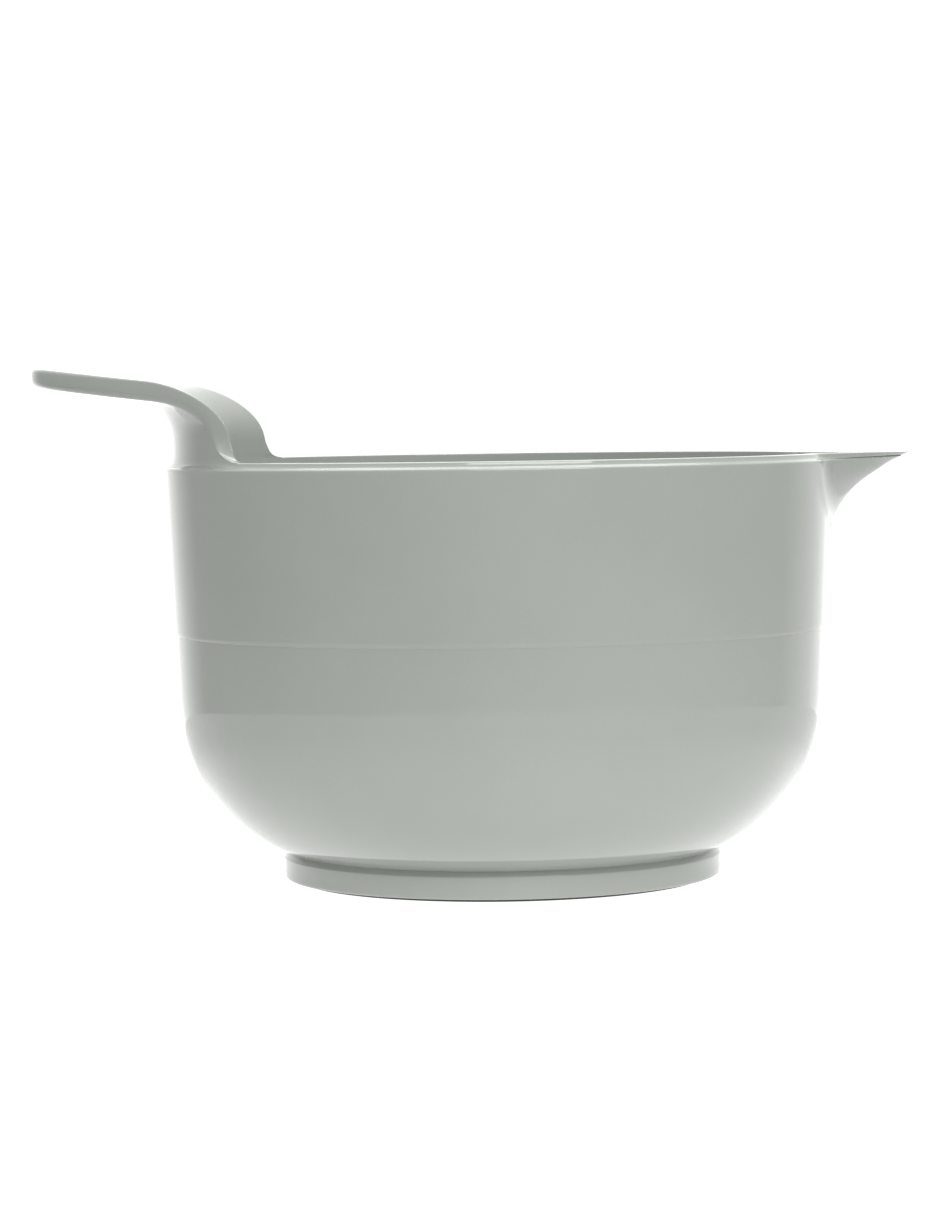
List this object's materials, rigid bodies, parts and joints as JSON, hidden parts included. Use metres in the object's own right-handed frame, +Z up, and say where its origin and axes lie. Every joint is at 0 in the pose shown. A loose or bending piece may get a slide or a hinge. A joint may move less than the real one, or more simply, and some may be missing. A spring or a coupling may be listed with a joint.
{
  "type": "batter bowl",
  "caption": "Deep round batter bowl in glossy moulded plastic, with a tongue-shaped lip handle, a pointed pouring spout opposite it and a low foot on a non-slip ring.",
  "frame": {"origin": "centre of the non-slip ring on the plane that the bowl stands on", "axes": "+Z up out of the bowl's mouth, +X towards the tip of the spout, -X towards the tip of the handle"},
  "size_m": [0.2644, 0.2, 0.1555],
  "materials": {
    "bowl_plastic": "glossy moulded plastic, grey with a green tinge",
    "ring_rubber": "dark matt rubber"
  },
  "bodies": {
    "root": {"bowl_body": "bowl_plastic", "nonslip_ring": "ring_rubber"}
  },
  "joints": []
}
